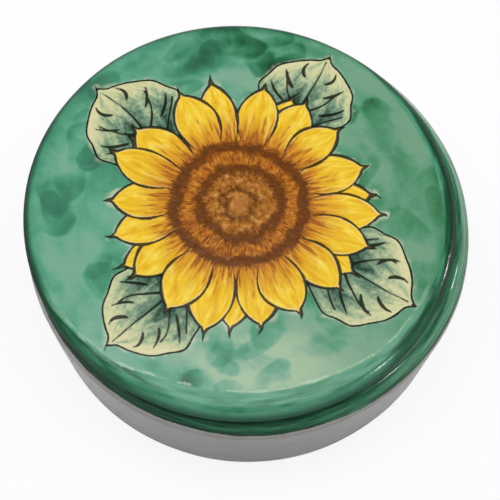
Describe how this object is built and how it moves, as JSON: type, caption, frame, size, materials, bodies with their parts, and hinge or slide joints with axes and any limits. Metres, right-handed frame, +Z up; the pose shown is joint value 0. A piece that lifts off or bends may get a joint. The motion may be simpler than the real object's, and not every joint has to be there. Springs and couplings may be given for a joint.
{
  "type": "candy box",
  "caption": "Low round ceramic candy box: a hollow drum with a thickened rim and a loose, slightly crowned lid with a locating ring.",
  "frame": {"origin": "centre of the base's flat underside, on the surface that the box stands on", "axes": "+Z up through the lid; +Y away from the viewer and +X to the viewer's right, as the box stands in the picture"},
  "size_m": [0.1634, 0.1634, 0.0586],
  "materials": {
    "base_glaze": "gloss",
    "lid_glaze": "gloss"
  },
  "bodies": {
    "base": {"base": "base_glaze"},
    "lid": {"lid": "lid_glaze"}
  },
  "joints": [
    {"name": "lid_lift", "type": "slide", "parent": "base", "child": "lid", "axis": [0, 0, 1], "range_m": [0, 0.08]}
  ]
}
